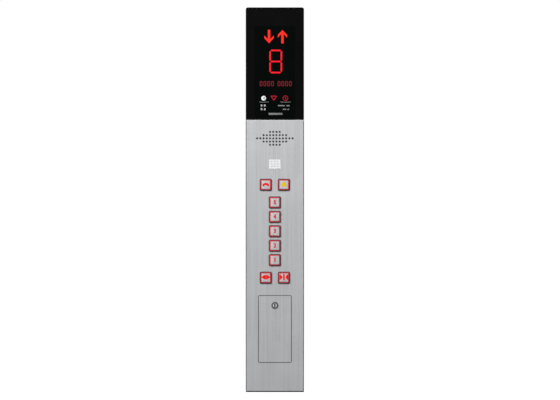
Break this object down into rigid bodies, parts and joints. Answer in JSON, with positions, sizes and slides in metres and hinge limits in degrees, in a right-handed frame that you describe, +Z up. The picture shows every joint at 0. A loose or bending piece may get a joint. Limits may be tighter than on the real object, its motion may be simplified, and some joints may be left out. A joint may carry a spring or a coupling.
{
  "type": "elevator car operating panel",
  "caption": "Tall wall-mounted elevator car panel: dark floor display, speaker grille, emergency lamp, lit square push buttons and a lockable switch compartment.",
  "frame": {"origin": "centre of the flat back that lies on the wall", "axes": "+Z up, +X to the right as seen from the car, -Y out of the wall into the car"},
  "size_m": [0.19, 0.0585, 1.255],
  "materials": {
    "brushed_stainless": "fine vertical brushing",
    "galvanised_sheet": "galvanised",
    "dark_painted_sheet": "semi-gloss black paint",
    "smoked_window": "polished, printed black behind",
    "bright_trim": "bright",
    "bright_steel": "satin plated",
    "black_plastic": "fine grain",
    "dark_rubber": "matt",
    "circuit_board": "solder mask",
    "red_light": "diffusing, lit from behind",
    "white_light": "diffusing",
    "screen_cloth": "woven",
    "speaker_paper": "pulp",
    "magnet_steel": "plated",
    "cap_metal": "satin",
    "spring_steel": "drawn wire",
    "rocker_plastic": "smooth"
  },
  "bodies": {
    "root": {"back_box": "galvanised_sheet", "cable_bushing": "dark_rubber", "faceplate": "brushed_stainless", "stiffening_rails": "galvanised_sheet", "window_frame": "dark_painted_sheet", "display_window": "smoked_window", "trim_strip": "bright_trim", "front_screws": "bright_steel", "weld_nuts": "bright_steel", "display_housing": "black_plastic", "display_board": "circuit_board", "digit_module": "black_plastic", "digit_bars": "red_light", "arrow_module": "black_plastic", "arrow_lights": "red_light", "load_module": "black_plastic", "load_bars": "red_light", "status_module": "black_plastic", "status_lights": "white_light", "dust_screen": "screen_cloth", "speaker_gasket": "dark_rubber", "speaker_frame": "galvanised_sheet", "speaker_cone": "speaker_paper", "speaker_magnet": "magnet_steel", "speaker_clips": "galvanised_sheet", "microphone": "bright_steel", "lamp_lens": "white_light", "lamp_housing": "white_light", "lamp_board": "circuit_board", "floor_bezels": "black_plastic", "function_bezels": "black_plastic", "light_rings": "red_light", "button_clamps": "spring_steel", "button_springs": "spring_steel", "button_boards": "circuit_board", "button_covers": "black_plastic", "service_tray": "galvanised_sheet", "switch_plate": "brushed_stainless", "pivot_pins": "bright_steel", "lock_keeper": "galvanised_sheet", "rocker_frames": "black_plastic", "key_switch_body": "bright_steel", "control_board": "circuit_board"},
    "button_floor_5": {"cap_floor_5": "cap_metal"},
    "button_floor_4": {"cap_floor_4": "cap_metal"},
    "button_floor_3": {"cap_floor_3": "cap_metal"},
    "button_floor_2": {"cap_floor_2": "cap_metal"},
    "button_floor_1": {"cap_floor_1": "cap_metal"},
    "button_intercom": {"cap_intercom": "cap_metal"},
    "button_alarm": {"cap_alarm": "cap_metal"},
    "button_door_open": {"cap_door_open": "cap_metal"},
    "button_door_close": {"cap_door_close": "cap_metal"},
    "service_door": {"service_door": "brushed_stainless", "door_stiffener": "galvanised_sheet", "lock_barrel": "bright_steel", "lock_nut": "bright_steel"},
    "lock_plug": {"lock_plug": "bright_steel"},
    "rocker_fan": {"rocker_fan": "rocker_plastic"},
    "rocker_light": {"rocker_light": "rocker_plastic"},
    "key_plug": {"key_switch_plug": "bright_steel"}
  },
  "joints": [
    {"name": "press_floor_5", "type": "slide", "parent": "root", "child": "button_floor_5", "axis": [0, 1, 0], "range_m": [0, 0.0018], "stiffness_N_per_m": 900, "springref_m": -0.0012, "deforming": ["button_springs"]},
    {"name": "press_floor_4", "type": "slide", "parent": "root", "child": "button_floor_4", "axis": [0, 1, 0], "range_m": [0, 0.0018], "stiffness_N_per_m": 900, "springref_m": -0.0012, "deforming": ["button_springs"]},
    {"name": "press_floor_3", "type": "slide", "parent": "root", "child": "button_floor_3", "axis": [0, 1, 0], "range_m": [0, 0.0018], "stiffness_N_per_m": 900, "springref_m": -0.0012, "deforming": ["button_springs"]},
    {"name": "press_floor_2", "type": "slide", "parent": "root", "child": "button_floor_2", "axis": [0, 1, 0], "range_m": [0, 0.0018], "stiffness_N_per_m": 900, "springref_m": -0.0012, "deforming": ["button_springs"]},
    {"name": "press_floor_1", "type": "slide", "parent": "root", "child": "button_floor_1", "axis": [0, 1, 0], "range_m": [0, 0.0018], "stiffness_N_per_m": 900, "springref_m": -0.0012, "deforming": ["button_springs"]},
    {"name": "press_intercom", "type": "slide", "parent": "root", "child": "button_intercom", "axis": [0, 1, 0], "range_m": [0, 0.0018], "stiffness_N_per_m": 900, "springref_m": -0.0012, "deforming": ["button_springs"]},
    {"name": "press_alarm", "type": "slide", "parent": "root", "child": "button_alarm", "axis": [0, 1, 0], "range_m": [0, 0.0018], "stiffness_N_per_m": 900, "springref_m": -0.0012, "deforming": ["button_springs"]},
    {"name": "press_door_open", "type": "slide", "parent": "root", "child": "button_door_open", "axis": [0, 1, 0], "range_m": [0, 0.0018], "stiffness_N_per_m": 900, "springref_m": -0.0012, "deforming": ["button_springs"]},
    {"name": "press_door_close", "type": "slide", "parent": "root", "child": "button_door_close", "axis": [0, 1, 0], "range_m": [0, 0.0018], "stiffness_N_per_m": 900, "springref_m": -0.0012, "deforming": ["button_springs"]},
    {"name": "door_swing", "type": "hinge", "parent": "root", "child": "service_door", "pos_m": [0, -0.0492, -0.5215], "axis": [1, 0, 0], "range_deg": [0, 110]},
    {"name": "lock_turn", "type": "hinge", "parent": "service_door", "child": "lock_plug", "pos_m": [0, -0.055, -0.3445], "axis": [0, -1, 0], "range_deg": [0, 90]},
    {"name": "fan_rocker_tilt", "type": "hinge", "parent": "root", "child": "rocker_fan", "pos_m": [-0.022, -0.024, -0.4035], "axis": [1, 0, 0], "range_deg": [0, 18]},
    {"name": "light_rocker_tilt", "type": "hinge", "parent": "root", "child": "rocker_light", "pos_m": [0.022, -0.024, -0.4035], "axis": [1, 0, 0], "range_deg": [0, 18]},
    {"name": "key_switch_turn", "type": "hinge", "parent": "root", "child": "key_plug", "pos_m": [0, -0.0265, -0.4655], "axis": [0, -1, 0], "range_deg": [0, 90]}
  ]
}
